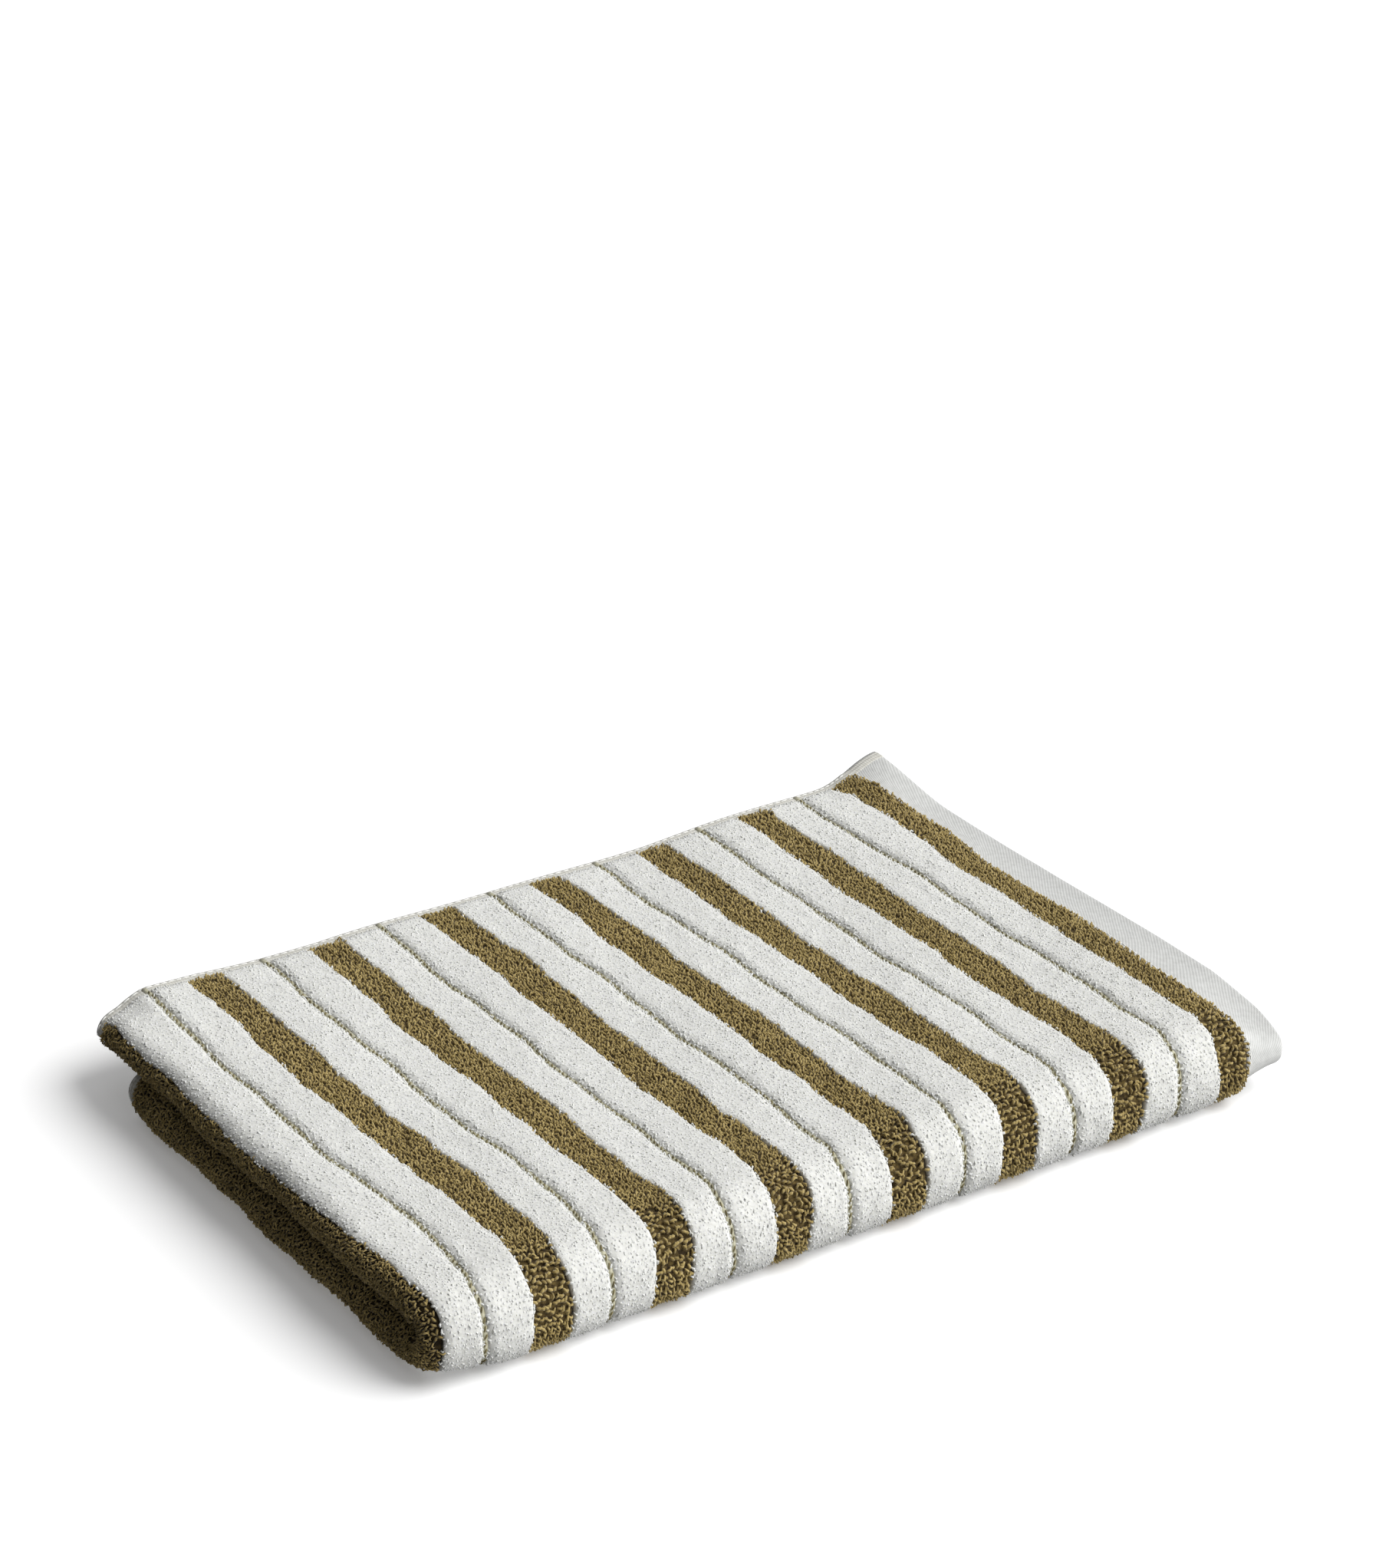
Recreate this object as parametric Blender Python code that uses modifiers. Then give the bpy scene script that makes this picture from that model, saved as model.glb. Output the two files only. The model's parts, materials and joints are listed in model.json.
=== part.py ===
"""A striped terry towel, folded crosswise and then lengthwise into four plies.

X runs along the pack: the end rolls are at -X and the end hems at +X. Y runs along the stripes: the front
bend is at -Y and the side hems at +Y. Z is up, and the origin is under the middle of the pack.
The upper two plies open about the front bend like a lid. Every upper part has a lower twin, mirrored in
the fold plane, and the bend between the two is the same outline turned half way round the fold line.
"""

import math

import bmesh
import bpy
from mathutils import Matrix, Vector

PACK_LENGTH = 0.348
PACK_WIDTH = 0.229
PLY = 0.0081  # one thickness of terry, ground cloth and both piles
GAP = 0.0003  # clearance between neighbouring parts
LOWER_SETBACK = 0.016  # the lower half's back edge lies this far in front of the upper half's

END_HEM_WIDTH = 0.020
SIDE_HEM_WIDTH = 0.005
HEM_THICKNESS = 0.003

STRIPE_PITCH = 0.0462
OLIVE_BAND = 0.0137
STRIPES_PER_PANEL = 7
GROOVE_WIDTH = 0.0016
GROOVE_DEPTH = 0.0012

THREAD_RADIUS = 0.00035
END_SEAM_INSET = 0.0025
SIDE_SEAM_INSET = 0.0015

LABEL_WIDTH = 0.028
LABEL_LENGTH = 0.014
LABEL_THICKNESS = 0.0006
LABEL_X = 0.105
LABEL_TACK_LENGTH = 0.024

TERRY_EDGE_BEVEL = 0.0012
HEM_EDGE_BEVEL = 0.0005
BEND_STEPS = 14
ROLL_STEPS = 10

HALF_HEIGHT = 2 * PLY + 1.5 * GAP
FOLD_Y = -PACK_WIDTH / 2 + HALF_HEIGHT
FOLD_Z = HALF_HEIGHT
ROLL_RADIUS = PLY + GAP / 2
ROLL_X = -PACK_LENGTH / 2 + ROLL_RADIUS
PANEL_START_X = ROLL_X + GAP
HEM_X = PACK_LENGTH / 2 - END_HEM_WIDTH
LAST_STRIPE_X = HEM_X - OLIVE_BAND / 2

# Heights above the fold plane, in the upper half.
INNER_BOTTOM = GAP / 2
INNER_TOP = INNER_BOTTOM + PLY
OUTER_BOTTOM = INNER_TOP + GAP
OUTER_TOP = OUTER_BOTTOM + PLY
ROLL_CENTRE = (INNER_BOTTOM + OUTER_TOP) / 2

# Each ply's levels, and the way its outward face points from its middle.
PLIES = {
    "outer": {"bottom": OUTER_BOTTOM, "top": OUTER_TOP, "outward": 1},
    "inner": {"bottom": INNER_BOTTOM, "top": INNER_TOP, "outward": -1},
}
BACK_Y = {"upper": PACK_WIDTH / 2, "lower": PACK_WIDTH / 2 - LOWER_SETBACK}

WHITE_TERRY = (0.84, 0.845, 0.82, 1.0)
OLIVE_TERRY = (0.20, 0.145, 0.05, 1.0)
HEM_WHITE = (0.76, 0.77, 0.76, 1.0)
THREAD_WHITE = (0.82, 0.81, 0.77, 1.0)
LABEL_WHITE = (0.88, 0.88, 0.86, 1.0)


def clear_scene():
    for scene_object in list(bpy.data.objects):
        bpy.data.objects.remove(scene_object, do_unlink=True)


def make_material(name, colour, roughness):
    material = bpy.data.materials.new(name)
    material.use_nodes = True
    shader = material.node_tree.nodes["Principled BSDF"]
    shader.inputs["Base Color"].default_value = colour
    shader.inputs["Roughness"].default_value = roughness
    shader.inputs["Metallic"].default_value = 0.0
    return material


def middle(ply):
    return (PLIES[ply]["bottom"] + PLIES[ply]["top"]) / 2


def rectangle(x_from, x_to, z_from, z_to):
    return [(x_from, z_from), (x_to, z_from), (x_to, z_to), (x_from, z_to)]


def grooved_panel_outline():
    """The outer ply from the roll to the hem, with a groove in its outward side between two white bands."""
    outline = [(PANEL_START_X, OUTER_BOTTOM), (HEM_X - GAP, OUTER_BOTTOM), (HEM_X - GAP, OUTER_TOP)]
    for stripe in range(STRIPES_PER_PANEL):
        groove_x = LAST_STRIPE_X - (stripe + 0.5) * STRIPE_PITCH
        outline.append((groove_x + GROOVE_WIDTH, OUTER_TOP))
        outline.append((groove_x + GROOVE_WIDTH / 2, OUTER_TOP - GROOVE_DEPTH))
        outline.append((groove_x - GROOVE_WIDTH / 2, OUTER_TOP - GROOVE_DEPTH))
        outline.append((groove_x - GROOVE_WIDTH, OUTER_TOP))
    outline.append((PANEL_START_X, OUTER_TOP))
    return outline


def half_disc_outline(radius):
    """The roll's section: the half of a disc that faces -X."""
    angles = [math.pi * (0.5 + step / ROLL_STEPS) for step in range(ROLL_STEPS + 1)]
    return [(ROLL_X + radius * math.cos(a), ROLL_CENTRE + radius * math.sin(a)) for a in angles]


def half_ring_outline(radius, thickness):
    outside = half_disc_outline(radius + thickness / 2)
    inside = half_disc_outline(radius - thickness / 2)
    return outside + inside[::-1]


def hem_outline(ply, x_from, x_to):
    level = middle(ply)
    return rectangle(x_from, x_to, level - HEM_THICKNESS / 2, level + HEM_THICKNESS / 2)


def outline_face(mesh_data, outline, y, side):
    """The outline as one face across Y, at its height from the fold plane, mirrored in it for side -1."""
    corners = [mesh_data.verts.new((x, y, FOLD_Z + side * height)) for x, height in outline]
    return mesh_data.faces.new(corners)


def add_object(name, mesh_data, material, bevel):
    bmesh.ops.recalc_face_normals(mesh_data, faces=mesh_data.faces)
    mesh = bpy.data.meshes.new(name)
    mesh_data.to_mesh(mesh)
    mesh_data.free()
    mesh.materials.append(material)
    part = bpy.data.objects.new(name, mesh)
    COLLECTION.objects.link(part)
    if bevel:
        rounding = part.modifiers.new("rounded edges", "BEVEL")
        rounding.width = bevel
        rounding.segments = 2
        rounding.limit_method = "ANGLE"
        rounding.angle_limit = math.radians(60)
        rounding.harden_normals = False
    return part


def extruded(name, outline, side, y_from, y_to, material, bevel=0.0):
    """A flat stretch of cloth: its outline across Y, drawn out from y_from to y_to."""
    mesh_data = bmesh.new()
    face = outline_face(mesh_data, outline, y_from, side)
    drawn = bmesh.ops.extrude_face_region(mesh_data, geom=[face])
    moved = [element for element in drawn["geom"] if isinstance(element, bmesh.types.BMVert)]
    bmesh.ops.translate(mesh_data, verts=moved, vec=Vector((0, y_to - y_from, 0)))
    return add_object(name, mesh_data, material, bevel)


def bent(name, outline, material):
    """The same outline turned half way round the fold line, from the upper half to the lower."""
    mesh_data = bmesh.new()
    face = outline_face(mesh_data, outline, FOLD_Y, 1)
    bmesh.ops.spin(
        mesh_data,
        geom=[face, *face.edges, *face.verts],
        cent=Vector((0, FOLD_Y, FOLD_Z)),
        axis=Vector((1, 0, 0)),
        angle=math.pi,
        steps=BEND_STEPS,
        use_merge=False,
    )
    part = add_object(name, mesh_data, material, 0.0)
    part.data.shade_smooth()
    part.data.set_sharp_from_angle(angle=math.radians(40))
    return part


def thread(name, points, material):
    """A line of stitching, as one strand along the points."""
    curve = bpy.data.curves.new(name, "CURVE")
    curve.dimensions = "3D"
    curve.bevel_depth = THREAD_RADIUS
    curve.bevel_resolution = 1
    curve.use_fill_caps = True
    spline = curve.splines.new("POLY")
    spline.points.add(len(points) - 1)
    for point, place in zip(spline.points, points):
        point.co = (*place, 1.0)
    curve.materials.append(material)
    strand = bpy.data.objects.new(name, curve)
    COLLECTION.objects.link(strand)
    return strand


def thread_height(ply):
    """How far a seam lies from the fold plane: just off the hem's outward face."""
    away = HEM_THICKNESS / 2 + GAP + THREAD_RADIUS
    return middle(ply) + PLIES[ply]["outward"] * away


def add_terry_panels(half, side, y_from, y_to):
    outlines = {
        "outer": grooved_panel_outline(),
        "inner": rectangle(PANEL_START_X, HEM_X - GAP, INNER_BOTTOM, INNER_TOP),
    }
    for ply, outline in outlines.items():
        extruded(f"{half}_{ply}_terry_panel", outline, side, y_from, y_to, WHITE)


def add_end_roll(half, side, y_from, y_to):
    roll = extruded(f"{half}_end_roll", half_disc_outline(ROLL_RADIUS), side, y_from, y_to, OLIVE)
    roll.data.shade_smooth()
    roll.data.set_sharp_from_angle(angle=math.radians(40))


def add_end_hems(half, side, y_from, y_to):
    for ply in PLIES:
        outline = hem_outline(ply, HEM_X, PACK_LENGTH / 2)
        extruded(f"{half}_{ply}_end_hem", outline, side, y_from, y_to, HEM, HEM_EDGE_BEVEL)
        x = HEM_X + END_SEAM_INSET
        z = FOLD_Z + side * thread_height(ply)
        ends = [(x, y_from + GAP, z), (x, y_to - GAP, z)]
        thread(f"{half}_{ply}_end_hem_stitching", ends, THREAD)


def add_side_hems(half, side, y_from, y_to):
    for ply in PLIES:
        outline = hem_outline(ply, PANEL_START_X, HEM_X - GAP)
        extruded(f"{half}_{ply}_side_hem", outline, side, y_from, y_to, HEM, HEM_EDGE_BEVEL)
        y = y_from + SIDE_SEAM_INSET
        z = FOLD_Z + side * thread_height(ply)
        ends = [(PANEL_START_X + GAP, y, z), (HEM_X - 2 * GAP, y, z)]
        thread(f"{half}_{ply}_side_hem_stitching", ends, THREAD)
    turn = half_ring_outline(middle("outer") - ROLL_CENTRE, HEM_THICKNESS)
    extruded(f"{half}_end_roll_side_hem", turn, side, y_from, y_to, HEM)


def add_half(half, side):
    """One pair of plies, joined by the roll at their left end: the upper half, or its lower twin."""
    start = FOLD_Y + GAP
    back = BACK_Y[half]
    side_hem_start = back - SIDE_HEM_WIDTH
    add_terry_panels(half, side, start, side_hem_start - GAP)
    add_end_roll(half, side, start, side_hem_start - GAP)
    add_end_hems(half, side, start, back)
    add_side_hems(half, side, side_hem_start, back)


def add_front_bend():
    """The stretch of every part that turns from the upper half to the lower along the front."""
    bent("outer_front_bend", grooved_panel_outline(), WHITE)
    bent("inner_front_bend", rectangle(PANEL_START_X, HEM_X - GAP, INNER_BOTTOM, INNER_TOP), WHITE)
    bent("end_roll_front_bend", half_disc_outline(ROLL_RADIUS), OLIVE)
    for ply in PLIES:
        bent(f"{ply}_end_hem_front_bend", hem_outline(ply, HEM_X, PACK_LENGTH / 2), HEM)
        radius = thread_height(ply)
        turns = [math.pi * step / BEND_STEPS for step in range(BEND_STEPS + 1)]
        places = [
            (HEM_X + END_SEAM_INSET, FOLD_Y - radius * math.sin(t), FOLD_Z + radius * math.cos(t))
            for t in turns
        ]
        thread(f"{ply}_end_hem_bend_stitching", places, THREAD)


def add_care_label():
    """A blank label sewn into the lower outer side hem, turning about the hem's edge, and its tack seam."""
    hem_level = FOLD_Z - middle("outer")
    seam_y = BACK_Y["lower"]
    mesh_data = bmesh.new()
    bmesh.ops.create_cube(mesh_data, size=1.0)
    size = Matrix.Diagonal((LABEL_WIDTH, LABEL_LENGTH, LABEL_THICKNESS, 1))
    centre = Matrix.Translation((0, GAP + LABEL_LENGTH / 2, 0))
    bmesh.ops.transform(mesh_data, matrix=centre @ size, verts=mesh_data.verts)
    label = add_object("care_label", mesh_data, LABEL, 0.0)
    label.location = (LABEL_X, seam_y, hem_level)
    z = hem_level - HEM_THICKNESS / 2 - GAP - THREAD_RADIUS
    y = seam_y - SIDE_SEAM_INSET
    ends = [(LABEL_X - LABEL_TACK_LENGTH / 2, y, z), (LABEL_X + LABEL_TACK_LENGTH / 2, y, z)]
    thread("care_label_stitching", ends, THREAD)


clear_scene()
COLLECTION = bpy.data.collections.new("folded_terry_towel")
bpy.context.scene.collection.children.link(COLLECTION)
WHITE = make_material("white_terry", WHITE_TERRY, 0.95)
OLIVE = make_material("olive_terry", OLIVE_TERRY, 0.95)
HEM = make_material("hem_cloth", HEM_WHITE, 0.9)
THREAD = make_material("sewing_thread", THREAD_WHITE, 0.8)
LABEL = make_material("care_label_satin", LABEL_WHITE, 0.6)
add_half("upper", 1)
add_half("lower", -1)
add_front_bend()
add_care_label()
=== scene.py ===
"""A striped terry towel, folded crosswise and then lengthwise, on a pale floor.

The towel is laid out in cloth coordinates. u runs along the towel from the end roll: above 0 on the outer
plies, below 0 on the inner ones. s runs across it, over the front bend: above BEND on the upper half, below
-BEND on the lower half, and round the bend between. d is how far a point stands off the middle of the
ground cloth, above 0 on the face and below 0 on the reverse. place() folds all of it up.
"""

import json
import math

import bpy
import numpy as np
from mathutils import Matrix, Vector

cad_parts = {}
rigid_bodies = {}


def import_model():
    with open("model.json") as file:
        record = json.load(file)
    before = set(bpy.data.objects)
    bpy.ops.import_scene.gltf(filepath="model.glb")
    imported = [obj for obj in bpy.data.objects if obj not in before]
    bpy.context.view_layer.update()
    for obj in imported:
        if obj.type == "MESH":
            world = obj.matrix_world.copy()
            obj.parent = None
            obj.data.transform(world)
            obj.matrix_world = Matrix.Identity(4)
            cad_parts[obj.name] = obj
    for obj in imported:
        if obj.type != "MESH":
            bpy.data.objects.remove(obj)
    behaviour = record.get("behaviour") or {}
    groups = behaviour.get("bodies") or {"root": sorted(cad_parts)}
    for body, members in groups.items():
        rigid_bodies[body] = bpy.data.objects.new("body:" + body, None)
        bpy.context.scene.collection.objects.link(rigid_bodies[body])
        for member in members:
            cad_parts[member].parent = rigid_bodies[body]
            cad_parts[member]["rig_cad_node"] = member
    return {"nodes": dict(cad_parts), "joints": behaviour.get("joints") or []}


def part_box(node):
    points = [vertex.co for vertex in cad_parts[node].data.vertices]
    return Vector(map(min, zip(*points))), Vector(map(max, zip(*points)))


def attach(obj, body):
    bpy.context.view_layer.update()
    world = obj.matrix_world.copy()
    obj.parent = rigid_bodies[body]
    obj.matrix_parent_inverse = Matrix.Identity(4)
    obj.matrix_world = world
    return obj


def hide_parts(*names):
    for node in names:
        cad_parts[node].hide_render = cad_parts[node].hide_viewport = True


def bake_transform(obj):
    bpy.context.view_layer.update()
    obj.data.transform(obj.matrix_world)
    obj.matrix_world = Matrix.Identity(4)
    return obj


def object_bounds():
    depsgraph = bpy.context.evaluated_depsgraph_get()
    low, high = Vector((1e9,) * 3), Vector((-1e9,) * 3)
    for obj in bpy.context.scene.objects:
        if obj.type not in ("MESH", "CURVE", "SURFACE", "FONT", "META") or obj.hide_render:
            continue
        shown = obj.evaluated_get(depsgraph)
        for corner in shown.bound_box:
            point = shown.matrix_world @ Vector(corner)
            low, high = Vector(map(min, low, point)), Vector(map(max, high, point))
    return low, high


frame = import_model()
cad_low, cad_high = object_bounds()

MM = 0.001
FOLD = next(j for j in frame["joints"] if j["name"] == "front_fold")
FOLD_Y, FOLD_Z = FOLD["pos_m"][1:]
PACK_END_X = cad_high.x
HEM_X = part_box("upper_outer_end_hem")[0].x
BACK_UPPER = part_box("upper_outer_end_hem")[1].y - FOLD_Y
BACK_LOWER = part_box("lower_outer_end_hem")[1].y - FOLD_Y
ROLL_LOW, ROLL_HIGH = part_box("upper_end_roll")
ROLL_X = ROLL_HIGH.x
ROLL_CENTRE = (ROLL_LOW.z + ROLL_HIGH.z) / 2 - FOLD_Z
ROLL_RADIUS = ROLL_CENTRE / 2  # of the ground cloth, so that the plies lie a quarter of the way in
ROLL_HALF = 10.25 * MM  # cloth taken up by half of the roll
OUTER_HEIGHT = ROLL_CENTRE + ROLL_RADIUS
BEND = math.pi / 2 * OUTER_HEIGHT
END_U = PACK_END_X - ROLL_X + ROLL_HALF
HEM_U = END_U - (PACK_END_X - HEM_X)
BACK_S = {"upper": BEND + BACK_UPPER, "lower": -BEND - BACK_LOWER}
SIDE_HEM = 5 * MM

OLIVE = 13.7 * MM
GROOVE = 1.7 * MM
STRIPES = 7
PITCH = (HEM_U - OLIVE / 2) / STRIPES
ROLL_OLIVE = OLIVE / 2
ROLL_INNER = ROLL_HALF + 0.4 * MM  # the roll's stripe reaches down into the crease between the two rolls
GROUND_HALF = 0.25 * MM  # half of the ground cloth's thickness
GROOVE_TOP = 2.55 * MM  # how high the ground cloth stands where it shows in a groove
STITCH = 3.1 * MM  # from one stitch to the next
INNER_CLEARANCE = 0.5 * MM  # how far the inner plies' pile stops short of the fold line


def smooth(t):
    """From 0 to 1 as t does, level at both ends."""
    t = np.clip(t, 0.0, 1.0)
    return t * t * (3 - 2 * t)


def field(u, s, cell, seed):
    """Smooth noise from -1 to 1 over the cloth, with lumps about a cell across."""
    grid = np.random.default_rng(seed).uniform(-1, 1, (257, 257))
    a, b = np.asarray(u) / cell + 1000.0, np.asarray(s) / cell + 1000.0
    i, j = np.floor(a).astype(int), np.floor(b).astype(int)
    fa, fb = smooth(a - i), smooth(b - j)
    i, j = i % 256, j % 256
    near = grid[i, j] * (1 - fb) + grid[i, j + 1] * fb
    far = grid[i + 1, j] * (1 - fb) + grid[i + 1, j + 1] * fb
    return near * (1 - fa) + far * fa


# Places in the folded pack are in metres from its middle. z is the height above the fold plane, below 0 in the
# lower half.

def ripple(x, u, s, amount):
    """The stripes waver along their length."""
    x = x + 0.55 * MM * amount * np.sin(s / 12.9 * 1000 + 6.1 * u / PITCH)
    return x + 0.35 * MM * amount * np.sin(s / 5.6 * 1000 - 4.3 * u / PITCH + 1.0)


def fold_hem(x, y, z, hem):
    """The end hem is thinner than the pile, so it folds flatter at the front and sinks towards its edge."""
    pinch = hem * smooth((-0.066 - y) / 0.036)
    z = z * (1 - 0.4 * pinch)
    x = x - 3.5 * MM * pinch * smooth((-0.090 - y) / 0.020)
    z = z + hem * np.interp(z, [-0.0126, -0.0042, 0.0042, 0.0126], [-0.0004, 0.0001, -0.0006, -0.0032])
    return x, z


def tuck_corner(x, y, z):
    """The rolled corner at the front left lies a little higher and rounder than the stripes beside it."""
    tuck = smooth((-0.142 - x) / 0.030) * smooth((-0.084 - y) / 0.024)
    return y + 2.2 * MM * tuck, z * (1 - 0.24 * tuck * (z < 0))


def lean(u, s):
    """Over the shoulder of the bend the stripes lean towards the hem, and below it towards the roll."""
    shoulder = 0.5 * smooth((s - BEND + 2 * MM) / (4 * MM)) * (1 - smooth((s - BEND) / (30 * MM)))
    on_bend = smooth((BEND - s) / (7 * MM))
    from_groove = np.abs(np.abs(u - np.round(u / PITCH) * PITCH) - PITCH / 2)
    along = 0.25 + shoulder - on_bend * (0.85 + 0.9 * smooth(1 - from_groove / (6 * MM)))
    between = smooth((np.abs(u) - 9 * MM) / (14 * MM))
    between = between * (1 - smooth((np.abs(u) - HEM_U + 20 * MM) / (12 * MM)))
    before_hem = HEM_U - np.abs(u)
    by_hem = smooth((20 * MM - before_hem) / (8 * MM)) * (1 - smooth((2 * MM - before_hem) / (4 * MM)))
    return (along * between + 0.8 * on_bend * by_hem) * MM


def draw_back(x, y, z, s, at_roll, sagging):
    """The back edges are drawn out, the upper half's most at both of its ends, and it sinks over the roll."""
    drawn = np.interp(x, [-0.175, -0.160, -0.130, -0.085, 0.055, 0.101, 0.147, 0.170],
                      [8.0, 10.2, 10.2, 6.0, 5.4, 7.2, 9.8, 12.0]) * MM
    drawn = np.where(s > 0, drawn, (2.5 - 2.0 * smooth((-0.140 - x) / 0.020)) * MM)
    y = y + drawn * smooth((y - 0.045) / 0.066)
    z = z - 3.6 * MM * smooth((y - 0.100) / 0.018) * sagging
    x = x + 1.9 * MM * smooth((y - 0.098) / 0.020) * at_roll
    return x, y, z


def lift_corner(x, y, z, u, s):
    """The upper half's back corner at the end hem stands up."""
    corner = smooth((x - 0.134) / 0.040) * smooth((y - 0.086) / 0.040) * ((u > 0) & (s > 0))
    corner = corner ** 1.2
    return x - 7 * MM * corner, z + 11 * MM * corner


def drape(x, y, z, u, s):
    """How the cloth of the folded pack sags and waves."""
    hem = smooth((x - 0.146) / 0.026)
    x = ripple(x, u, s, 1 - 0.85 * hem)
    x, z = fold_hem(x, y, z, hem)
    y, z = tuck_corner(x, y, z)
    # The upper half sags over the back of the lower roll. Its inner ply sags less: it rests on the fold plane.
    at_roll = smooth((-0.150 - x) / 0.018) * (s > 0)
    sagging = at_roll * np.interp(z, [0.0008, 0.009], [0.0, 1.0])
    z = z - 1.4 * MM * smooth((y - 0.050) / 0.050) * sagging
    # It stands a little higher near the front bend.
    z = z + 0.6 * MM * smooth((0.010 - y) / 0.070) * smooth(z / (8 * MM))
    x = x + lean(u, s)
    x, y, z = draw_back(x, y, z, s, at_roll, sagging)
    x, z = lift_corner(x, y, z, u, s)
    wave = 0.55 * np.sin(2 * math.pi * (x / 0.137 + y / 0.31) + 1.3)
    wave = wave + 0.35 * np.sin(2 * math.pi * (x / 0.083 - y / 0.127) + 0.4)
    return x, y, z + wave * MM * (z + FOLD_Z) / (2 * FOLD_Z)


def slip(u, s):
    """How far the cloth of the upper half has slipped along the towel, towards the roll."""
    v = np.clip((s - BEND) / (BACK_S["upper"] - BEND), 0, 1)
    at_roll = 1 - smooth((np.abs(u) - 9 * MM) / (14 * MM))
    over_roll = 3.4 * smooth((v - 0.08) / 0.3) * (1 - 0.65 * smooth((v - 0.75) / 0.25))
    beside = 1.8 * smooth((v - 0.3) / 0.15) * (1 - smooth((v - 0.65) / 0.27))
    beside = beside - 1.7 * smooth(v / 0.08) * (1 - smooth((v - 0.2) / 0.12))
    beside = beside * (1 - smooth((u - 52 * MM) / (30 * MM))) * (u > 0)
    near_hem = smooth((u - HEM_U + 24 * MM) / (16 * MM)) * (1 - smooth((u - HEM_U) / (12 * MM)))
    by_hem = -4.2 * smooth((v - 0.62) / 0.2) * (1 - smooth((v - 0.9) / 0.1))
    by_hem = by_hem + 1.4 * smooth(v / 0.07) * (1 - smooth((v - 0.2) / 0.12))
    return (over_roll * at_roll + beside * (1 - at_roll) + by_hem * near_hem) * MM


def place(u, s, d):
    """Where a point of the cloth lies in the folded pack."""
    u, s, d = np.broadcast_arrays(u, s, d)
    u = u - slip(u, s)
    turn = np.clip(u / ROLL_HALF, -1, 1) * math.pi / 2
    radius = ROLL_RADIUS + d
    x = ROLL_X - radius * np.cos(turn) + np.maximum(np.abs(u) - ROLL_HALF, 0)
    height = ROLL_CENTRE + radius * np.sin(turn)
    round_bend = np.clip((BEND - s) / (2 * BEND), 0, 1) * math.pi
    # The bend is a little squarer than a half circle.
    out, up = np.sin(round_bend), np.cos(round_bend)
    height = height * (out**2.5 + np.abs(up) ** 2.5) ** (-1 / 2.5)
    y = FOLD_Y - height * out + np.maximum(np.abs(s) - BEND, 0)
    x, y, z = drape(x, y, height * up, u, s)
    return np.stack([x, y, np.maximum(z + FOLD_Z, 0.15 * MM)], -1)


def add_mesh(name, points, corners, counts, materials, slots=None, cloth=None):
    """A mesh object from flat arrays: the corner list of all faces, and each face's number of corners."""
    starts = np.concatenate([[0], np.cumsum(counts)[:-1]])
    mesh = bpy.data.meshes.new(name)
    mesh.vertices.add(len(points))
    mesh.vertices.foreach_set("co", points.astype(np.float32).ravel())
    mesh.loops.add(len(corners))
    mesh.loops.foreach_set("vertex_index", corners.astype(np.int32))
    mesh.polygons.add(len(counts))
    mesh.polygons.foreach_set("loop_start", starts.astype(np.int32))
    mesh.polygons.foreach_set("use_smooth", np.ones(len(counts), bool))
    if slots is not None:
        mesh.polygons.foreach_set("material_index", slots.astype(np.int32))
    if cloth is not None:
        layer = mesh.uv_layers.new(name="cloth")
        layer.data.foreach_set("uv", cloth[corners].astype(np.float32).ravel())
    mesh.update(calc_edges=True)
    for material in materials:
        mesh.materials.append(material)
    piece = bpy.data.objects.new(name, mesh)
    bpy.context.scene.collection.objects.link(piece)
    return piece


def strips(name, sections, materials):
    """Closed strips of cloth in one piece. Each section is (u, s, d): rows run along it, columns round it."""
    points, corners, counts, cloth, first = [], [], [], [], 0
    for section in sections:
        u, s, d = np.broadcast_arrays(*section)
        rows, columns = u.shape
        a = np.arange(rows - 1)[:, None] * columns + np.arange(columns)[None, :]
        b = np.arange(rows - 1)[:, None] * columns + (np.arange(columns)[None, :] + 1) % columns
        sides = np.stack([a, b, b + columns, a + columns], -1).reshape(-1, 4)
        ends = [np.arange(columns)[::-1], np.arange(columns) + (rows - 1) * columns]
        corners.append(np.concatenate([sides.ravel(), *ends]) + first)
        counts.append(np.concatenate([np.full(len(sides), 4), [columns, columns]]))
        points.append(place(u, s, d).reshape(-1, 3))
        cloth.append(np.stack([u, s], -1).reshape(-1, 2))
        first += rows * columns
    return add_mesh(
        name, np.concatenate(points), np.concatenate(corners), np.concatenate(counts), materials,
        cloth=np.concatenate(cloth),
    )


def rows_between(low, high, flat_step=2.4 * MM, bend_step=1.6 * MM):
    """Values of s from low to high, closer together round the bend."""
    stops = [low] + [edge for edge in (-BEND, BEND) if low < edge < high] + [high]
    values = []
    for start, end in zip(stops, stops[1:]):
        step = bend_step if abs(start + end) / 2 < BEND else flat_step
        values.append(np.linspace(start, end, max(2, int(round((end - start) / step)) + 1))[:-1])
    return np.append(np.concatenate(values), high)


def openness(s):
    """From 0 to 1, how far the bend spreads the rows of loops apart: most on its upper half."""
    return smooth((BEND + 5 * MM - s) / (7 * MM)) * smooth((s + 0.5 * BEND) / (0.5 * BEND))


def edge_shift(edge, s):
    """How far the edge of an olive stripe strays from its line. Edges are numbered along the towel."""
    return 0.5 * MM * field(edge * 0.05, s, 7 * MM, 24) + 0.3 * MM * field(edge * 0.05, s, 3.2 * MM, 25)


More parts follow.
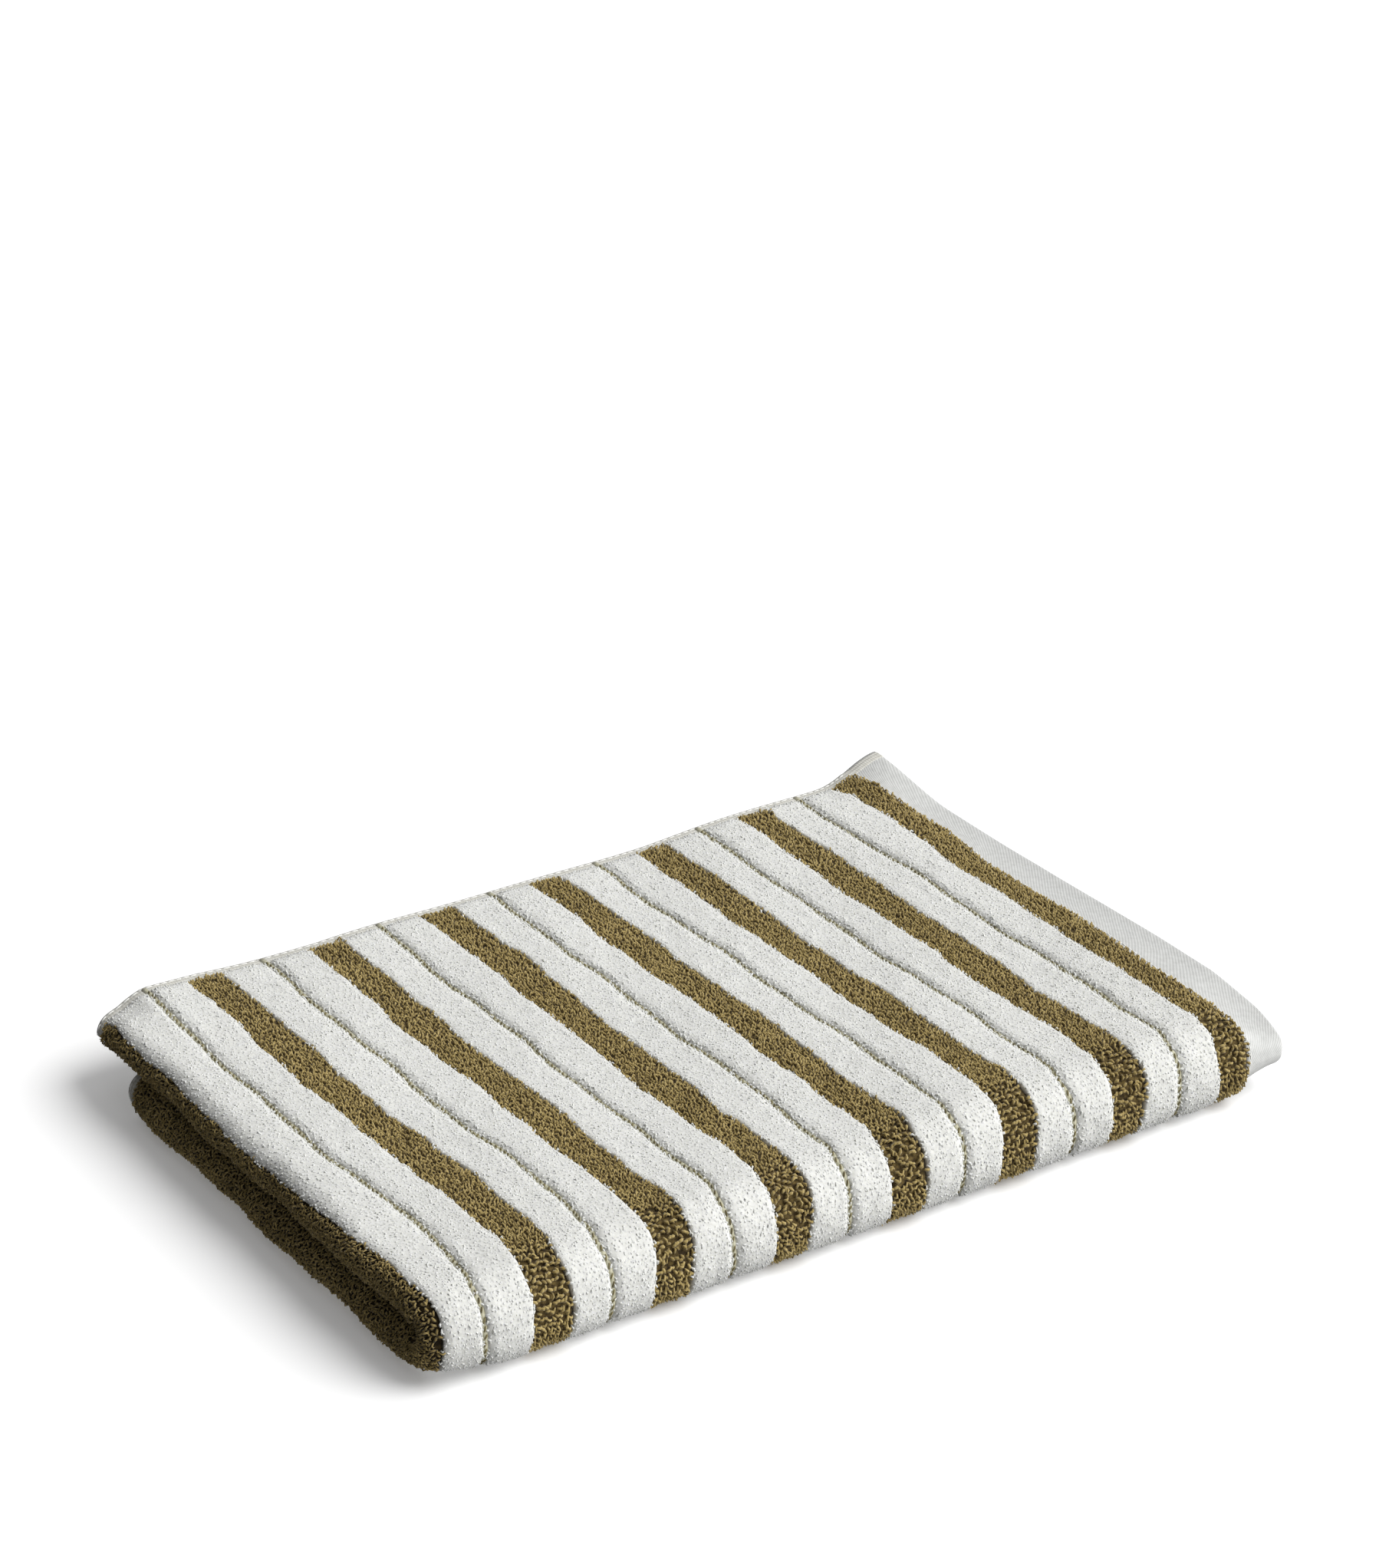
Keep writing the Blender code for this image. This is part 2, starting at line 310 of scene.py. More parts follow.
def olive_half(u, s):
    """How far the olive stripe reaches on that side of its middle."""
    stripe = np.round(u / PITCH)
    half = np.where((u < 0) & (u > -PITCH / 2), ROLL_INNER, OLIVE / 2)
    return half + edge_shift(2 * stripe + np.where(u > stripe * PITCH, 1, -1), s)


def pile_top(u, s):
    """How high the loops stand off the ground cloth: rounder beside a groove, lower on the olive stripes."""
    off = np.abs(u - np.round(u / PITCH) * PITCH)
    beside_groove = PITCH / 2 - GROOVE / 2 - off
    white_top = 4.0 * MM - 0.75 * MM * (1 - smooth(beside_groove / (2.0 * MM)))
    top = np.where(off < olive_half(u, s), 3.85 * MM, white_top)
    top = top - 0.7 * MM * (1 - smooth((HEM_U - np.abs(u)) / (1.8 * MM)))
    back = np.minimum(BACK_S["upper"] - SIDE_HEM - s, s - BACK_S["lower"] - SIDE_HEM)
    top = top - 0.8 * MM * (1 - smooth(back / (3.0 * MM)))
    return top + 0.22 * MM * field(u, s, 4.3 * MM, 11) + 0.14 * MM * field(u, s, 2.2 * MM, 12)


def band_section(u_from, u_to, s, face, deep=1.45 * MM):
    """The pile of one band, up to a little below the tops of its loops. u_from and u_to may vary with s."""
    u_from, u_to, deep = (np.broadcast_to(value, s.shape)[:, None] for value in (u_from, u_to, deep))
    columns = max(4, int(round((u_to - u_from).mean() / (1.7 * MM))) + 1)
    across = u_from + 0.7 * MM + (u_to - u_from - 1.4 * MM) * np.linspace(0, 1, columns)[None, :]
    across = np.concatenate([u_from, across, u_to], 1)
    columns += 2
    at_edge = np.zeros(columns)
    at_edge[[0, -1]] = 1
    u = np.concatenate([across, across[:, ::-1]], 1)
    s = s[:, None]
    high = pile_top(u, s) - deep - 0.45 * MM * np.concatenate([at_edge, at_edge])
    is_face = np.concatenate([np.ones(columns), np.zeros(columns)])[None, :] > 0
    d = np.where(is_face, high, 0.35 * MM) * face
    if face > 0:
        return u[:, ::-1], s, d[:, ::-1]
    return u, s, d


def bands(colour, u_from, u_to, s):
    """Start and end of each band of that colour, for each s, between two places along the towel."""
    found = []
    for k in range(-STRIPES - 1, STRIPES + 2):
        middle = k * PITCH
        before = middle - (OLIVE / 2 if k else ROLL_INNER) - edge_shift(2 * k - 1, s)
        after = middle + OLIVE / 2 + edge_shift(2 * k + 1, s)
        if colour == "olive":
            spans = [(before, after)]
        else:
            groove_edge = PITCH / 2 - GROOVE / 2 + 0 * s
            spans = [(middle - groove_edge, before), (after, middle + groove_edge)]
        for start, end in spans:
            start, end = np.maximum(start, u_from), np.minimum(end, u_to)
            if (end - start).min() > 1 * MM:
                found.append((start + 0.05 * MM, end - 0.05 * MM))
    return found


def pile(name, colour, u_from, u_to, s_from, s_to, material, face=1, deep=None):
    """The pile of every band of one colour between two places, deep metres below the tops of its loops."""
    s = rows_between(s_from, s_to)
    if deep is None:
        deep = (1.2 + 0.45 * openness(s)) * MM if colour == "olive" else 0.25 * MM
    sections = [band_section(a, b, s, face, deep) for a, b in bands(colour, u_from, u_to, s)]
    return strips(name, sections, [material])


def arches(u, s, low, high, span, yaw, lean_u, lean_s, radius, sides=4):
    """Closed arches of yarn standing on the cloth. Every argument but sides is one number for each arch."""
    count = len(u)
    low, high, span, yaw, lean_u, lean_s, radius = (
        np.broadcast_to(value, (count,)) for value in (low, high, span, yaw, lean_u, lean_s, radius)
    )

    def centre(t):
        up = np.sin(math.pi * t) ** 0.75
        along = -np.cos(math.pi * t) * (1 + 0.22 * up)
        return np.stack([
            u + span * along * np.cos(yaw) + lean_u * up,
            s + span * along * np.sin(yaw) + lean_s * up,
            low + (high - radius - low) * up,
        ], -1)

    side = np.stack([-np.sin(yaw), np.cos(yaw), np.zeros(count)], -1)
    angles = 2 * math.pi * np.arange(sides) / sides
    parts = [centre(0.02)[:, None, :]]
    for t, share in ((0.2, 0.92), (0.5, 1.0), (0.8, 0.92)):
        middle = centre(t)
        tangent = centre(t + 0.04) - centre(t - 0.04)
        tangent /= np.linalg.norm(tangent, axis=1, keepdims=True)
        normal = np.cross(side, tangent)
        normal /= np.linalg.norm(normal, axis=1, keepdims=True)
        across = np.cross(tangent, normal)
        ring = np.cos(angles)[None, :, None] * normal[:, None, :]
        ring = ring + np.sin(angles)[None, :, None] * across[:, None, :]
        parts.append(middle[:, None, :] + ring * (radius * share)[:, None, None])
    parts.append(centre(0.98)[:, None, :])
    local = np.concatenate(parts, 1)
    j = np.arange(sides)
    k = (j + 1) % sides
    first, last = 0, 1 + 3 * sides
    faces = [np.stack([np.full(sides, first), 1 + k, 1 + j], -1)]
    for ring in (0, 1):
        base = 1 + ring * sides
        faces.append(np.stack([base + j, base + k, base + sides + k], -1))
        faces.append(np.stack([base + j, base + sides + k, base + sides + j], -1))
    faces.append(np.stack([1 + 2 * sides + j, 1 + 2 * sides + k, np.full(sides, last)], -1))
    faces = np.concatenate(faces)
    corners = (faces[None] + (np.arange(count) * (last + 1))[:, None, None]).reshape(-1)
    return local.reshape(-1, 3), corners, len(faces)


def yarn_piece(name, built, materials, tones=None):
    """A mesh of arches, folded up with the cloth. tones says which of the materials each arch has."""
    local, corners, per_arch = built
    points = place(local[:, 0], local[:, 1], local[:, 2])
    slots = None if tones is None else np.repeat(tones, per_arch)
    return add_mesh(name, points, corners, np.full(len(corners) // 3, 3), materials, slots)


def loop_roots(u_from, u_to, s_from, s_to, pitch, spread, random):
    """Rows of roots across the towel, further apart where the bend spreads them."""
    u, s, row = [], [], s_from
    while row < s_to:
        wide = spread * openness(row)
        pitch_u, pitch_s = pitch[0] * (1 + 0.2 * wide) * MM, pitch[1] * (1 + 0.45 * wide) * MM
        columns = max(1, int(round((u_to - u_from) / pitch_u)))
        steps = np.arange(columns) + 0.5 + random.uniform(-0.5, 0.5)
        steps = steps + random.normal(0, 0.16 + 0.06 * wide, columns)
        u.append(u_from + steps * (u_to - u_from) / columns)
        s.append(row + (0.5 + random.normal(0, 0.15, columns)) * pitch_s)
        row += pitch_s
    u, s = np.concatenate(u), np.concatenate(s)
    keep = (u > u_from) & (u < u_to) & (s < s_to)
    return u[keep], s[keep]


def loops(name, colour, u_from, u_to, s_from, s_to, materials, seed, face=1, pitch=(1.2, 1.25), sides=4,
          thick=0.35, uneven=0.23, twist=0.9, tall=2.6, spans=(0.42, 0.72)):
    """The loops of one colour between two places along and across the towel.

    pitch, thick, uneven, tall and spans are in millimetres. twist is how far the arches turn, in radians.
    """
    random = np.random.default_rng(seed)
    spread = 1.0
    if colour == "white":
        # White loops are finer, closer and more even, and the bend doesn't part them.
        spread, uneven, thick, twist = 0.0, 0.12, thick * 0.92, 1.1
        pitch = (pitch[0] * 0.9, pitch[1] * 0.93)
    u, s = loop_roots(u_from, u_to, s_from, s_to, pitch, spread, random)
    middle = np.round(u / PITCH) * PITCH
    off = np.abs(u - middle)
    strayed = off + random.normal(0, 0.26 * MM, len(u))
    olive = strayed < olive_half(u, s) - 0.3 * MM * openness(s) * (u > middle)
    in_groove = off > PITCH / 2 - GROOVE / 2 + 0.14 * MM * field(u, s, 2.4 * MM, 22)
    keep = (olive if colour == "olive" else ~olive) & ~in_groove
    u, s, off, middle = u[keep], s[keep], off[keep], middle[keep]
    count = len(u)
    wide = spread * openness(s)
    # The loops on the far side of each groove are looser and lie about.
    loose = np.where(u < middle, 0.6 * smooth((off - PITCH / 2 + 3.6 * MM) / (1.2 * MM)), 0.0)
    top = pile_top(u, s) + random.normal(0, uneven * MM, count) * (1 + 0.7 * loose) + 0.15 * MM
    towards_groove = np.sign(u - middle) * smooth((off - PITCH / 2 + 3.2 * MM) / (2.4 * MM))
    out_hem = smooth((np.abs(u) - HEM_U + 2.5 * MM) / (2 * MM)) * np.sign(u)
    out_back = smooth((s - BACK_S["upper"] + SIDE_HEM + 3 * MM) / (2 * MM)) - smooth(
        (BACK_S["lower"] + SIDE_HEM + 3 * MM - s) / (2 * MM))
    built = arches(
        u, s, (top - tall * MM) * face, top * face,
        random.uniform(*spans, count) * MM * (1 + 0.2 * wide + 0.35 * loose),
        random.normal(0, 1, count) * (twist - 0.2 * wide + 0.5 * loose) + (math.pi if face < 0 else 0),
        random.normal(0, 0.28 * MM, count) * (1 + 0.6 * loose)
        + (0.2 * towards_groove + 0.5 * out_hem) * MM,
        random.normal(0, 0.24 * MM, count) * (1 + 0.6 * loose) + 0.5 * MM * out_back,
        random.uniform(0.82, 1.18, count) * thick * MM * face * (1 + 0.2 * wide + 0.15 * loose), sides,
    )
    shade = random.uniform(0, 1, count) + 0.25 * field(u, s, 6 * MM, 23)
    tones = np.clip((shade * len(materials)).astype(int), 0, len(materials) - 1)
    return yarn_piece(name, built, materials, tones)


# ---------------------------------------------------------------- materials

def shader_of(material):
    return material.node_tree.nodes["Principled BSDF"]


def new_material(name, colour, roughness, sheen=0.0):
    material = bpy.data.materials.new(name)
    material.use_nodes = True
    shader = shader_of(material)
    shader.inputs["Base Color"].default_value = (*colour, 1)
    shader.inputs["Roughness"].default_value = roughness
    shader.inputs["Specular IOR Level"].default_value = 0.25
    shader.inputs["Sheen Weight"].default_value = sheen
    shader.inputs["Sheen Roughness"].default_value = 0.5
    return material


def add_node(material, kind, **values):
    node = material.node_tree.nodes.new(kind)
    for key, value in values.items():
        if key in node.inputs:
            node.inputs[key].default_value = value
        else:
            setattr(node, key, value)
    return node


def join(material, out, into):
    material.node_tree.links.new(out, into)


def ramp_between(material, factor, low, high, dark, light):
    node = add_node(material, "ShaderNodeValToRGB")
    node.color_ramp.elements[0].position = low
    node.color_ramp.elements[0].color = (*dark, 1)
    node.color_ramp.elements[1].position = high
    node.color_ramp.elements[1].color = (*light, 1)
    join(material, factor, node.inputs["Fac"])
    return node.outputs["Color"]


def soften(material, soft):
    """soft is how much light passes through the fibres."""
    shader_of(material).inputs["Subsurface Weight"].default_value = soft
    shader_of(material).inputs["Subsurface Radius"].default_value = (1.0, 1.0, 0.9)
    shader_of(material).inputs["Subsurface Scale"].default_value = 0.5 * MM


def pile_material(name, dark, light, depth=0.7, soft=0.0):
    """What shows between the loops: tangled yarn, with painted shade where it lies deeper."""
    material = new_material(name, light, 0.97, 0.1)
    where = add_node(material, "ShaderNodeTexCoord").outputs["Object"]
    tangle = add_node(material, "ShaderNodeTexNoise", Scale=900.0, Detail=3.0, Roughness=0.6)
    join(material, where, tangle.inputs["Vector"])
    lumps = add_node(material, "ShaderNodeTexVoronoi", Scale=620.0)
    join(material, where, lumps.inputs["Vector"])
    both = add_node(material, "ShaderNodeMath", operation="MULTIPLY")
    join(material, tangle.outputs["Fac"], both.inputs[0])
    join(material, lumps.outputs["Distance"], both.inputs[1])
    # Painted shade: the colour runs from light to dark where the bump lies deeper.
    colour = ramp_between(material, both.outputs[0], 0.1, 0.42, light, dark)
    join(material, colour, shader_of(material).inputs["Base Color"])
    bump = add_node(material, "ShaderNodeBump", Strength=depth, Distance=0.0006)
    bump.invert = True
    join(material, both.outputs[0], bump.inputs["Height"])
    join(material, bump.outputs["Normal"], shader_of(material).inputs["Normal"])
    soften(material, soft)
    return material


def yarn_materials(name, colours, sheen, soft=0.0):
    """One material for each shade of the yarn."""
    made = [new_material(f"{name}_{i + 1}", colour, 0.92, sheen) for i, colour in enumerate(colours)]
    for material in made:
        soften(material, soft)
    return made


def cloth_coordinates(material):
    node = add_node(material, "ShaderNodeUVMap", uv_map="cloth")
    return node.outputs["UV"]


def woven_material(name, dark, light, rib=0.9 * MM, pick=0.55 * MM, depth=0.35, slant=0.0):
    """Flat-woven cotton: fine ribs, crossed by picks. slant turns the ribs from the line across the cloth."""
    material = new_material(name, light, 0.88, 0.12)
    coordinates = cloth_coordinates(material)

    def wave(angle, period):
        along = add_node(material, "ShaderNodeVectorMath", operation="DOT_PRODUCT")
        join(material, coordinates, along.inputs[0])
        along.inputs[1].default_value = Vector((math.cos(angle), math.sin(angle), 0)) * (2 * math.pi / period)
        turned = add_node(material, "ShaderNodeMath", operation="SINE")
        join(material, along.outputs["Value"], turned.inputs[0])
        return turned.outputs[0]

    ribs, picks = wave(math.pi / 2 + slant, rib), wave(0.0, pick)
    noise = add_node(material, "ShaderNodeTexNoise", Scale=420.0, Detail=3.0)
    join(material, add_node(material, "ShaderNodeTexCoord").outputs["Object"], noise.inputs["Vector"])
    height = noise.outputs["Fac"]
    for part, share in ((picks, 0.14), (ribs, 0.28)):
        added = add_node(material, "ShaderNodeMath", operation="MULTIPLY_ADD")
        join(material, part, added.inputs[0])
        added.inputs[1].default_value = share
        join(material, height, added.inputs[2])
        height = added.outputs[0]
    colour = ramp_between(material, height, 0.0, 1.0, dark, light)
    join(material, colour, shader_of(material).inputs["Base Color"])
    bump = add_node(material, "ShaderNodeBump", Strength=depth, Distance=0.00025)
    join(material, height, bump.inputs["Height"])
    join(material, bump.outputs["Normal"], shader_of(material).inputs["Normal"])
    return material


WHITE_PILE = pile_material("white_pile", (0.66, 0.66, 0.63), (0.74, 0.74, 0.71), 0.3, 0.7)
# The olive pile is painted much darker than the olive yarn: painted shade in the gaps between the loops.
SHADED_OLIVE_PILE = pile_material("olive_pile", (0.03, 0.018, 0.005), (0.14, 0.097, 0.031))
# The rolls' pile is painted darker still: painted shade, for the rolls' side away from the light and the gaps
# between their loops.
SHADED_ROLL_PILE = pile_material("roll_pile", (0.014, 0.008, 0.002), (0.06, 0.04, 0.012))
WHITE_YARN = yarn_materials(
    "white_yarn", [(0.635, 0.64, 0.615), (0.665, 0.67, 0.645), (0.695, 0.70, 0.675)], 0.2, 0.7)
# The rolls' yarn is the olive yarn painted darker: painted shade for the rolls, which face away from the
# light.
SHADED_ROLL_YARN = yarn_materials(
    "roll_yarn", [(0.21, 0.152, 0.05), (0.26, 0.19, 0.066), (0.31, 0.23, 0.084), (0.36, 0.27, 0.104)], 0.2)
OLIVE_YARN = yarn_materials(
    "olive_yarn", [(0.27, 0.20, 0.07), (0.325, 0.243, 0.088), (0.38, 0.288, 0.108), (0.43, 0.33, 0.13)], 0.2)
# The groove yarn is the olive yarn painted darker: painted shade at the bottom of the grooves.
SHADED_GROOVE_YARN = yarn_materials("groove_yarn", [(0.12, 0.10, 0.045), (0.20, 0.17, 0.08)], 0.1)
GROUND = woven_material(
    "ground_cloth", (0.36, 0.345, 0.235), (0.52, 0.50, 0.375), rib=1.5 * MM, pick=1.1 * MM)
HEM = woven_material(
    "hem_cloth", (0.45, 0.454, 0.44), (0.65, 0.655, 0.64), rib=1.05 * MM, slant=math.radians(-123.6))
SIDE_HEM_CLOTH = woven_material(
    "side_hem_cloth", (0.48, 0.47, 0.42), (0.70, 0.69, 0.64), rib=1.5 * MM, pick=1.2 * MM, depth=0.7)
THREAD_MATERIAL = woven_material(
    "sewing_thread", (0.74, 0.74, 0.71), (0.88, 0.88, 0.86), rib=0.4 * MM, pick=0.4 * MM)
LABEL_MATERIAL = woven_material(
    "care_label_satin", (0.82, 0.82, 0.80), (0.90, 0.90, 0.89), rib=0.5 * MM, pick=0.3 * MM)

# ---------------------------------------------------------------- camera, floor and light

camera = bpy.data.objects.new("camera", bpy.data.cameras.new("camera"))
camera.data.lens = 99.72
camera.data.sensor_width = 36
camera.location = (-0.7308, -1.0934, 0.7667)
aim = Vector((0.0219, 0.0385, 0.0990)) - camera.location
camera.rotation_mode = "QUATERNION"
camera.rotation_quaternion = aim.to_track_quat("-Z", "Y")
bpy.context.scene.collection.objects.link(camera)
bpy.context.scene.camera = camera

bpy.ops.mesh.primitive_plane_add(size=14)
floor = bpy.context.object
floor.name = "floor"
floor_material = new_material("pale_floor", (0.98, 0.98, 0.98), 0.9)
shader_of(floor_material).inputs["Emission Color"].default_value = (1, 1, 1, 1)
shader_of(floor_material).inputs["Emission Strength"].default_value = 0.14
floor.visible_diffuse = False
floor.data.materials.append(floor_material)

# A bright white backdrop, and soft light in broad lobes: from above and the right, up from the pale floor in
# front, and a little from behind. Each lobe is its direction, the cosine at which it begins, and its level.
LOBES = (
    ((0.55, -0.60, 0.58), -0.6, 0.40),
    ((0.50, -0.77, -0.40), 0.32, 1.45),
    ((0.45, 0.89, 0.0), 0.2, 0.35),
)
LEAST_LIGHT = 0.025
world = bpy.data.worlds.new("studio")
world.use_nodes = True
tree = world.node_tree
direction = tree.nodes.new("ShaderNodeTexCoord")
total = None
for lobe, begins, level in LOBES:
    towards = tree.nodes.new("ShaderNodeVectorMath")
    towards.operation = "DOT_PRODUCT"
    towards.inputs[1].default_value = Vector(lobe).normalized()
    tree.links.new(direction.outputs["Generated"], towards.inputs[0])
    fade = tree.nodes.new("ShaderNodeMapRange")
    fade.interpolation_type = "SMOOTHSTEP"
    fade.inputs["From Min"].default_value = begins
    fade.inputs["To Max"].default_value = level
    tree.links.new(towards.outputs["Value"], fade.inputs["Value"])
    added = tree.nodes.new("ShaderNodeMath")
    added.inputs[1].default_value = LEAST_LIGHT
    if total is not None:
        tree.links.new(total, added.inputs[1])
    tree.links.new(fade.outputs["Result"], added.inputs[0])
    total = added.outputs["Value"]
dome = tree.nodes["Background"]
tree.links.new(total, dome.inputs["Color"])
backdrop = tree.nodes.new("ShaderNodeBackground")
backdrop.inputs["Color"].default_value = (1, 1, 1, 1)
seen = tree.nodes.new("ShaderNodeLightPath")
mixed = tree.nodes.new("ShaderNodeMixShader")
tree.links.new(seen.outputs["Is Camera Ray"], mixed.inputs["Fac"])
tree.links.new(dome.outputs["Background"], mixed.inputs[1])
tree.links.new(backdrop.outputs["Background"], mixed.inputs[2])
tree.links.new(mixed.outputs["Shader"], tree.nodes["World Output"].inputs["Surface"])
bpy.context.scene.world = world

key = bpy.data.objects.new("key", bpy.data.lights.new("key", "SUN"))
key.data.energy = 2.85
key.data.angle = math.radians(46)
key.rotation_mode = "QUATERNION"
key.rotation_quaternion = Vector((-0.50, 0.45, -0.75)).to_track_quat("-Z", "Y")
bpy.context.scene.collection.objects.link(key)
bpy.context.scene.view_settings.view_transform = "Standard"

# ---------------------------------------------------------------- the cloth

UPPER_END = BACK_S["upper"] - SIDE_HEM - 0.1 * MM
LOWER_END = BACK_S["lower"] + SIDE_HEM + 0.1 * MM
PILE_END = HEM_U - 0.2 * MM
OUTER_OLIVE = ROLL_OLIVE + 1 * MM  # past the roll's stripe, which has its own pieces
OUTER_WHITE = ROLL_OLIVE - 0.1 * MM
INNER_OLIVE = -ROLL_INNER - 2 * MM
STRAY = 0.6 * MM  # how far loops may reach past the edge of the roll's stripe
ROLL_DEPTH = 1.4 * MM  # how far the rolls' pile stays below the tops of its loops
ROLL_LOOPS = {"pitch": (0.95, 1.25), "thick": 0.31, "uneven": 0.26, "twist": 1.2, "tall": 1.8}
INNER_LOOPS = {"pitch": (1.8, 1.8), "sides": 3, "thick": 0.47}  # coarser, as the fold hides them
UNDERSIDE_LOOPS = {"pitch": (2.0, 2.0), "sides": 3, "thick": 0.5}


def over_the_bend(pieces):
    """Bake each piece's transform into its mesh. How far a band that only the bend itself lies in would reach,
    not the cloth behind it, is worked out but not used.
    """
    reach = []
    for piece in pieces:
        points = np.empty(len(piece.data.vertices) * 3, np.float32)
        piece.data.vertices.foreach_get("co", points)
        points = points.reshape(-1, 3)
        reach.append(np.abs(points[points[:, 1] > FOLD_Y + 1 * MM, 2] - FOLD_Z).min())
    reach = float(min(reach)) - 0.05 * MM
    for piece in pieces:
        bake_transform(piece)


def ground_section(u_from, u_to, s, step=2.0 * MM):
    """The ground cloth, raised where it shows in the grooves."""
    across = np.linspace(u_from, u_to, int(round((u_to - u_from) / step)) + 1)
    grooves = [(k + 0.5) * PITCH for k in range(-STRIPES, STRIPES) if u_from < (k + 0.5) * PITCH < u_to]
    extra = [g + side for g in grooves for side in (-1.3 * MM, -0.9 * MM, 0.9 * MM, 1.3 * MM)]
    across = np.unique(np.concatenate([across, grooves, extra]))
    off = np.abs(np.abs(across - np.round(across / PITCH) * PITCH) - PITCH / 2)
    raised = GROOVE_TOP * (1 - smooth((off - 0.8 * MM) / (0.6 * MM)))
    u = np.concatenate([across[::-1], across])[None, :]
    d = np.concatenate([GROUND_HALF + raised[::-1], np.full(len(across), -GROUND_HALF)])[None, :]
    return u, s[:, None], d


# At the lower back edge the ground cloth ends earlier, clear of the care label.
outer_rows = rows_between(BACK_S["lower"] + 4 * MM, BACK_S["upper"] - 2 * MM)
outer_ground = strips("outer_ground_cloth", [ground_section(0.0, HEM_U + 2 * MM, outer_rows)], [GROUND])
inner_u, inner_s, inner_d = ground_section(
    -HEM_U - 2 * MM, -0.1 * MM, rows_between(BACK_S["lower"] + 2 * MM, BACK_S["upper"] - 2 * MM))
inner_ground = strips("inner_ground_cloth", [(inner_u, inner_s, np.minimum(inner_d, GROUND_HALF))], [GROUND])

outer_olive = pile("outer_olive_pile", "olive", OUTER_OLIVE, PILE_END, LOWER_END, UPPER_END, SHADED_OLIVE_PILE)
outer_white = pile("outer_white_pile", "white", ROLL_OLIVE, PILE_END, LOWER_END, UPPER_END, WHITE_PILE)
reverse_rows = rows_between(LOWER_END, UPPER_END)
outer_reverse = strips(
    "outer_reverse_pile", [band_section(ROLL_OLIVE, PILE_END, reverse_rows, -1)], [WHITE_PILE])
outer_pieces = [outer_ground, outer_olive, outer_white, outer_reverse]
outer_pieces.append(loops(
    "outer_olive_loops", "olive", OUTER_OLIVE, PILE_END, -BEND, UPPER_END, OLIVE_YARN, 31))
outer_pieces.append(loops(
    "outer_white_loops", "white", OUTER_WHITE, PILE_END, -BEND, UPPER_END, WHITE_YARN, 32))
outer_pieces.append(loops(
    "underside_olive_loops", "olive", OUTER_OLIVE, PILE_END, LOWER_END, -BEND, OLIVE_YARN, 33,
    **UNDERSIDE_LOOPS))
outer_pieces.append(loops(
    "underside_white_loops", "white", OUTER_WHITE, PILE_END, LOWER_END, -BEND, WHITE_YARN, 34,
    **UNDERSIDE_LOOPS))


def groove_floats():
    """Olive yarn that shows as short slanting dashes along the bottom of each groove, painted darker than the
    stripes' yarn as painted shade.
    """
    random = np.random.default_rng(41)
    u, s = [], []
    for k in range(STRIPES):
        places = np.arange(LOWER_END, UPPER_END, 2.3 * MM)
        u.append(np.full(len(places), (k + 0.5) * PITCH) + random.normal(0, 0.12 * MM, len(places)))
        s.append(places + random.normal(0, 0.15 * MM, len(places)))
    u, s = np.concatenate(u), np.concatenate(s)
    built = arches(u, s, 2.5 * MM, 3.3 * MM, 0.75 * MM, math.radians(58) + random.normal(0, 0.15, len(u)),
                   0.0, 0.0, 0.34 * MM, 4)
    return yarn_piece("groove_floats", built, SHADED_GROOVE_YARN, random.integers(0, 2, len(u)))


outer_pieces.append(groove_floats())


def hem_section(side, s):
    """The end hem: three layers of flat weave, rounded over at the towel's edge."""
    half, u_from, u_to = 1.25 * MM, HEM_U + 0.1 * MM, END_U
    turn = np.linspace(math.pi / 2, -math.pi / 2, 7)
    across = np.linspace(u_from, u_to - half, 10)
    u = np.concatenate([across, u_to - half + half * np.cos(turn)[1:-1], across[::-1]])
    d = np.concatenate([np.full(10, half), half * np.sin(turn)[1:-1], np.full(10, -half)])
    if side > 0:
        return u[::-1][None, :], s[:, None], d[::-1][None, :]
    return -u[None, :], s[:, None], d[None, :]


hem_rows = rows_between(BACK_S["lower"] + 0.1 * MM, BACK_S["upper"] - 0.1 * MM, 3 * MM, 1.2 * MM)
outer_hem = strips("outer_end_hem", [hem_section(1, hem_rows)], [HEM])
inner_hem = strips("inner_end_hem", [hem_section(-1, hem_rows)], [HEM])


def stitches(name, u, s, low, high, yaw):
    """A seam, as one low arch of thread for each stitch."""
    built = arches(u, s, low, high, 1.25 * MM, yaw, 0.0, 0.0, 0.26 * MM, 6)
    return yarn_piece(name, built, [THREAD_MATERIAL])


def end_seam(name, side):
    """The seam of an end hem: of the outer plies, or where side is -1 of the inner ones."""
    s = np.arange(BACK_S["lower"] + 2 * MM, BACK_S["upper"] - 2 * MM, STITCH)
    u = np.full(len(s), (HEM_U + 2.5 * MM) * side)
    return stitches(name, u, s, 1.0 * MM, 1.55 * MM, math.pi / 2)


outer_seam = end_seam("outer_end_hem_stitching", 1)
inner_seam = end_seam("inner_end_hem_stitching", -1)

over_the_bend([*outer_pieces, outer_hem, outer_seam])
inner_reverse = strips(
    "inner_reverse_pile", [band_section(-PILE_END, -ROLL_OLIVE, reverse_rows, -1)], [WHITE_PILE])
over_the_bend([inner_ground, inner_reverse])
over_the_bend([inner_hem, inner_seam])


def inner_groove_cloth(half, s_from, s_to):
    """The ground cloth that shows in the grooves of the faces inside the fold."""
    rows = rows_between(s_from, s_to)[:, None]
    grooves = [np.linspace(-1.2, 1.2, 4) * MM - (k + 0.5) * PITCH for k in range(STRIPES)]
    d = np.concatenate([np.full(4, GROOVE_TOP), np.full(4, 0.2 * MM)])[None, :]
    sections = [(np.concatenate([groove[::-1], groove])[None, :], rows, d) for groove in grooves]
    return strips(f"{half}_inner_groove_cloth", sections, [GROUND])


